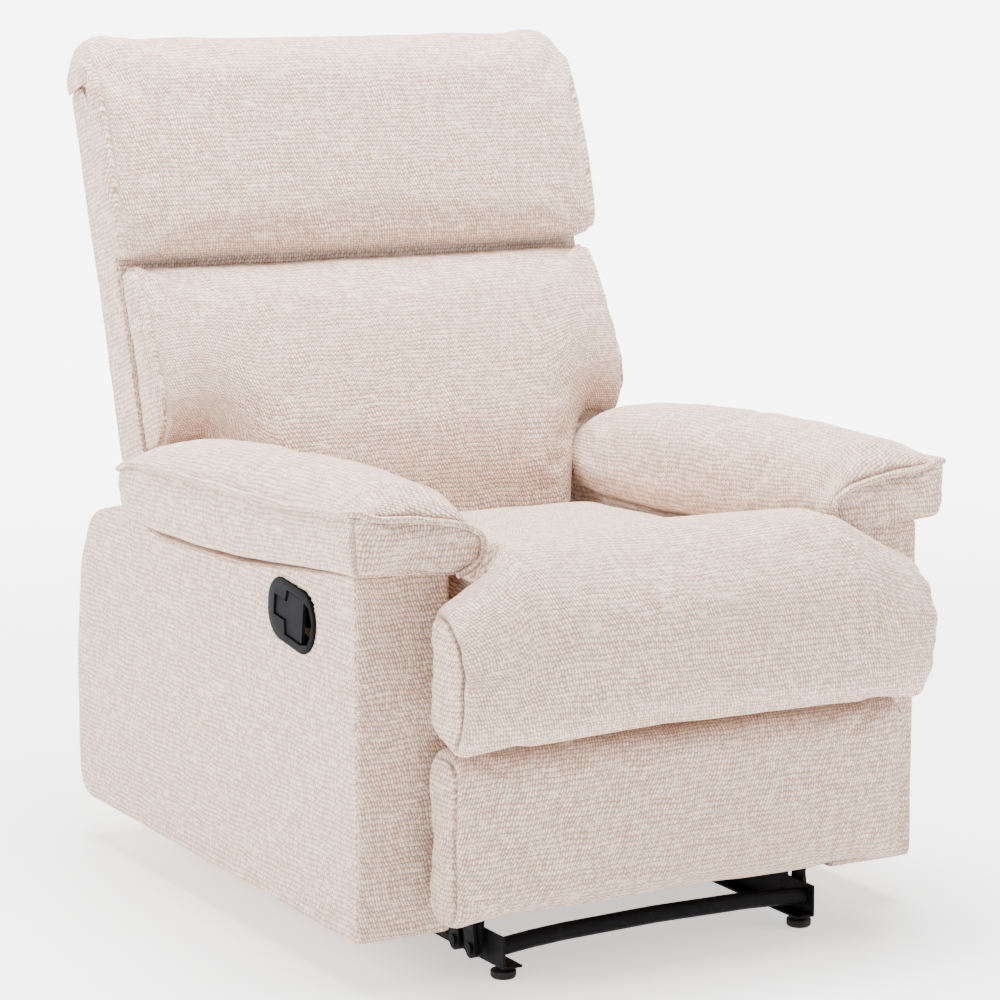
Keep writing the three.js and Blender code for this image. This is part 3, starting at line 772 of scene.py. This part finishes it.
def cut_for_latch(piece):
    """Opens the fabric where the latch cup sits."""
    low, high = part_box("latch_cup")
    y, z = latch_outline(-0.006)
    count = len(y)
    near, far = low.x - 0.02, high.x + 0.002
    points = [(near, a, b) for a, b in zip(y, z)] + [(far, a, b) for a, b in zip(y, z)]
    faces = [[i, (i + 1) % count, count + (i + 1) % count, count + i] for i in range(count)]
    faces += [list(range(count))[::-1], [count + i for i in range(count)]]
    mesh = bpy.data.meshes.new("latch_cutter")
    mesh.from_pydata(points, [], faces)
    body = bmesh.new()
    body.from_mesh(mesh)
    bmesh.ops.recalc_face_normals(body, faces=body.faces)
    body.to_mesh(mesh)
    body.free()
    cutter = bpy.data.objects.new("latch_cutter", mesh)
    bpy.context.scene.collection.objects.link(cutter)
    opening = piece.modifiers.new("latch_opening", "BOOLEAN")
    opening.operation = "DIFFERENCE"
    opening.solver = "EXACT"
    opening.object = cutter
    shaped = piece.evaluated_get(bpy.context.evaluated_depsgraph_get())
    opened = bpy.data.meshes.new_from_object(shaped)
    piece.modifiers.remove(opening)
    piece.data = opened
    piece.data.shade_smooth()
    bpy.data.objects.remove(cutter)


def arm_cover(side, s):
    corners = [(0.5, 57, 3), (797, 57, 42), (797, 250, 200), (778, 372, 90), (742, 438, 60), (642, 461, 70),
               (520, 438, 160), (300, 445, 200), (0.5, 477, 4)]
    base, _ = outline(corners, step=0.011)

    def sideways(x, a, b):
        return in_side_view(s * x, a, b)

    rows = stations(0.2605, 0.3795, 0.006, 0.001, 30, 0.0, seam_angle=40)
    piece, grid, seams = skin(f"arm_cover_{side}_cloth", sideways, lambda x: base, (380, 250), rows)
    ripple(piece, 0.0011, 0.33, 30 if s > 0 else 31)
    gather(piece, grid[seams[1]], 0.0008, 0.070, 0.020, 32 if s > 0 else 33)
    if side == "right":
        cut_for_latch(piece)
    return upholster(piece, "base", [f"arm_cover_{side}"])


def rear_panel():
    low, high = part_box("rear_base_panel")
    front, back = (low.y - ARM_FRONT) * 1000 + 0.5, (high.y - ARM_FRONT) * 1000 - 0.5
    bottom, top = low.z * 1000, high.z * 1000
    base, _ = outline([(front, bottom, 3), (back, bottom, 5), (back, top, 5), (front, top, 3)], step=0.009)
    core = ((front + back) / 2, (bottom + top) / 2)
    rows = stations(low.x + 0.0005, high.x - 0.0005, 0.003, 0.0, 2, 0.0)
    piece, _, _ = skin("rear_base_panel_cloth", in_side_view, lambda x: base, core, rows)
    ripple(piece, 0.0015, 0.21, 34)
    return upholster(piece, "base", ["rear_base_panel"])


# ---------------------------------------------------------------- footrest
def footrest():
    corners = [(-23, 92, 14), (-23, 266, 12), (-34, 283, 12), (-82, 282, 22), (-87, 180, 200), (-80, 82, 24),
               (-40, 80, 16)]
    base, _ = outline(corners)
    rows = stations(-0.303, 0.303, 0.014, 0.007, 5, 0.001, seam_angle=30)
    piece, grid, seams = skin("footrest_pad_cover", in_side_view, lambda x: base, (-52, 178), rows)
    points = read_points(piece.data)
    rear = np.where(points[:, 1] > ARM_FRONT - 0.034)[0]
    held = np.concatenate([grid[seams].ravel(), rear])
    swell(piece, held, CLOTH_PRESSURE, 0.009, slack=0.006)
    for row, seed in zip(seams, (35, 36)):
        gather(piece, grid[row], 0.0014, 0.034, 0.022, seed)
    ripple(piece, 0.0018, 0.23, 37)
    return upholster(piece, "footrest", ["footrest_pad"])


# ---------------------------------------------------------------- rigid parts
def refined(node, material, bevel, angle=38):
    """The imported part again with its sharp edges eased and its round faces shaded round."""
    source = next(o for o in bpy.data.objects if o.name == node)
    mesh = source.data.copy()
    mesh.materials.clear()
    mesh.materials.append(material)
    body = bmesh.new()
    body.from_mesh(mesh)
    bmesh.ops.remove_doubles(body, verts=body.verts, dist=1e-6)
    bmesh.ops.dissolve_limit(body, angle_limit=math.radians(1), verts=body.verts, edges=body.edges)
    body.to_mesh(mesh)
    body.free()
    mesh.shade_smooth()
    mesh.set_sharp_from_angle(angle=math.radians(angle))
    piece = bpy.data.objects.new(node + "_finished", mesh)
    bpy.context.scene.collection.objects.link(piece)
    eased = piece.modifiers.new("eased", "BEVEL")
    eased.width = bevel
    eased.segments = 2
    eased.limit_method = "ANGLE"
    eased.angle_limit = math.radians(angle)
    eased.harden_normals = True
    eased.use_clamp_overlap = True
    return piece


BEVELS = {"black_steel": 0.0006, "zinc_steel": 0.0005, "spring_steel": 0.0008, "latch_plastic": 0.0007,
          "foot_rubber": 0.0006, "frame_wood": 0.0010}


def rigid_parts():
    body_of = {node: body for body, nodes in frame["record"]["behaviour"]["bodies"].items() for node in nodes}
    for part in frame["record"]["subparts"]:
        name, slot = part["node"], part["material_slot"]
        if slot == "upholstery_fabric":
            continue
        piece = refined(name, MATERIALS[slot], BEVELS[slot])
        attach(piece, body_of[name])
        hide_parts(name)


# ---------------------------------------------------------------- stage, light and camera
def stage():
    mesh = bpy.data.meshes.new("floor")
    half, back, high = 9.0, 7.0, 6.0
    points = [(-half, -half, 0), (half, -half, 0)]
    turns = np.linspace(0, math.pi / 2, 10)
    for turn in turns:
        y, z = back - 2 + 2 * math.sin(turn), 2 - 2 * math.cos(turn)
        points += [(-half, y, z), (half, y, z)]
    points += [(-half, back, high), (half, back, high)]
    faces = [[2 * i, 2 * i + 1, 2 * i + 3, 2 * i + 2] for i in range(len(points) // 2 - 1)]
    mesh.from_pydata(points, [], faces)
    mesh.shade_smooth()
    floor = bpy.data.objects.new("floor", mesh)
    bpy.context.scene.collection.objects.link(floor)
    nodes = Nodes("studio_floor")
    place = object_coordinates(nodes)
    tone = nodes.noise(place, 0.8, 2)
    away = nodes.make("ShaderNodeVectorMath", operation="LENGTH")
    nodes.feed(away.inputs[0], place)
    colour = nodes.mix(tone, (0.93, 0.93, 0.93, 1), (0.95, 0.95, 0.95, 1))
    nodes.feed(nodes.shader.inputs["Base Color"], colour)
    nodes.shader.inputs["Emission Color"].default_value = (1.0, 1.0, 1.0, 1.0)
    glow = nodes.ramp(away.outputs["Value"], 0.9, 4.0, 0.9, 4.8)
    nodes.feed(nodes.shader.inputs["Emission Strength"], glow)
    nodes.shader.inputs["Roughness"].default_value = 0.9
    mesh.materials.append(nodes.material)


def lamp(name, place, aim, size, power, tint=(1, 1, 1)):
    light = bpy.data.lights.new(name, "AREA")
    light.shape = "SQUARE"
    light.size = size
    light.energy = power
    light.color = tint
    thing = bpy.data.objects.new(name, light)
    thing.location = place
    thing.rotation_euler = (Vector(aim) - Vector(place)).to_track_quat("-Z", "Y").to_euler()
    bpy.context.scene.collection.objects.link(thing)


def lights():
    lamp("front_softbox", (2.9, -2.6, 1.9), (0, 0, 0.5), 1.8, 65)
    lamp("side_softbox", (-3.6, -0.1, 2.1), (0, 0, 0.5), 2.0, 135)
    lamp("top_softbox", (0.1, 0.1, 3.4), (0, 0, 0.4), 2.2, 470)
    world = bpy.data.worlds.new("studio")
    world.use_nodes = True
    world.node_tree.nodes["Background"].inputs["Color"].default_value = (1.0, 0.995, 0.99, 1)
    world.node_tree.nodes["Background"].inputs["Strength"].default_value = 0.42
    bpy.context.scene.world = world


def camera():
    yaw, pitch = math.radians(29.706), math.radians(9.594)
    place = Vector((-2.0253, ARM_FRONT - 3.2026, 1.1692))
    way = Vector((math.sin(yaw) * math.cos(pitch), math.cos(yaw) * math.cos(pitch), -math.sin(pitch)))
    view = bpy.data.cameras.new("camera")
    view.lens = 121.04
    view.sensor_width = 36.0
    view.clip_end = 60
    thing = bpy.data.objects.new("camera", view)
    thing.location = place
    thing.rotation_euler = way.to_track_quat("-Z", "Y").to_euler()
    bpy.context.scene.collection.objects.link(thing)
    bpy.context.scene.camera = thing


camera()
lights()
stage()
headrest()
lumbar()
back_shell()
seat()
front_roll()
for side_name, sign in SIDES.items():
    arm_pad(side_name, sign)
    arm_cover(side_name, sign)
rear_panel()
footrest()
rigid_parts()
